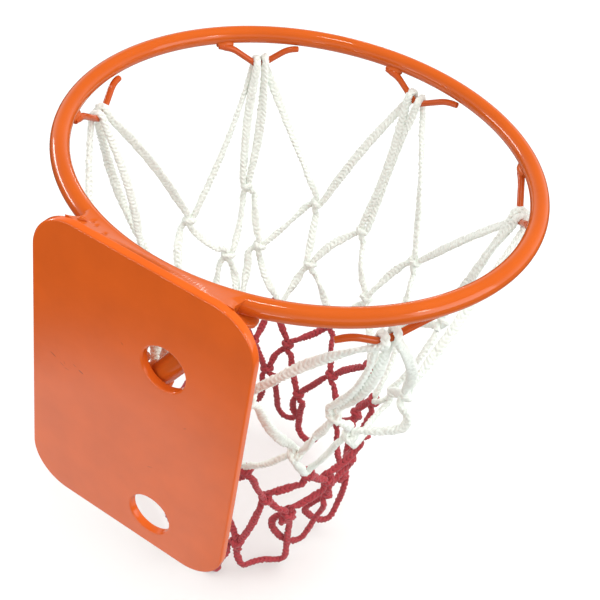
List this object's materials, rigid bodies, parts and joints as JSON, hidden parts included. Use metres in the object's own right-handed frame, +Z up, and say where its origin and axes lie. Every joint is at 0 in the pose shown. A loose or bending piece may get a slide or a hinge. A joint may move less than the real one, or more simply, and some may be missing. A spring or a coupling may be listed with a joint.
{
  "type": "mini basketball hoop",
  "caption": "Wall-mounted mini basketball hoop: flat steel plate with bolt holes, round-bar rim on brace rods, open wire net hooks and a two-colour knotted cord net.",
  "frame": {"origin": "centre of the mounting plate's flat back face, the face that goes against the wall", "axes": "+Z up, +Y out from the wall towards the rim, +X to the right seen from behind the plate looking along +Y"},
  "size_m": [0.2476, 0.2523, 0.2646],
  "materials": {
    "plate_enamel": "glossy orange enamel on flat steel",
    "rim_enamel": "glossy orange enamel on round bar",
    "weld_enamel": "orange enamel over a rippled weld",
    "brace_enamel": "orange enamel on round rod",
    "hook_enamel": "darker orange enamel on thin wire",
    "white_cord": "soft white braided cord",
    "red_cord": "soft crimson braided cord"
  },
  "bodies": {
    "root": {"mounting_plate": "plate_enamel", "rim": "rim_enamel", "rim_weld": "weld_enamel", "brace_rod_left": "brace_enamel", "brace_rod_right": "brace_enamel", "net_hook_1": "hook_enamel", "net_hook_2": "hook_enamel", "net_hook_3": "hook_enamel", "net_hook_4": "hook_enamel", "net_hook_5": "hook_enamel", "net_hook_6": "hook_enamel", "hung_loops_1": "white_cord", "hung_loops_2": "white_cord", "hung_loops_3": "white_cord", "hung_loops_4": "white_cord", "hung_loops_5": "white_cord", "hung_loops_6": "white_cord", "net_white_row_1": "white_cord", "net_white_row_2": "white_cord", "net_red_row_1": "red_cord", "net_red_row_2": "red_cord", "net_red_end_loops": "red_cord"}
  },
  "joints": []
}
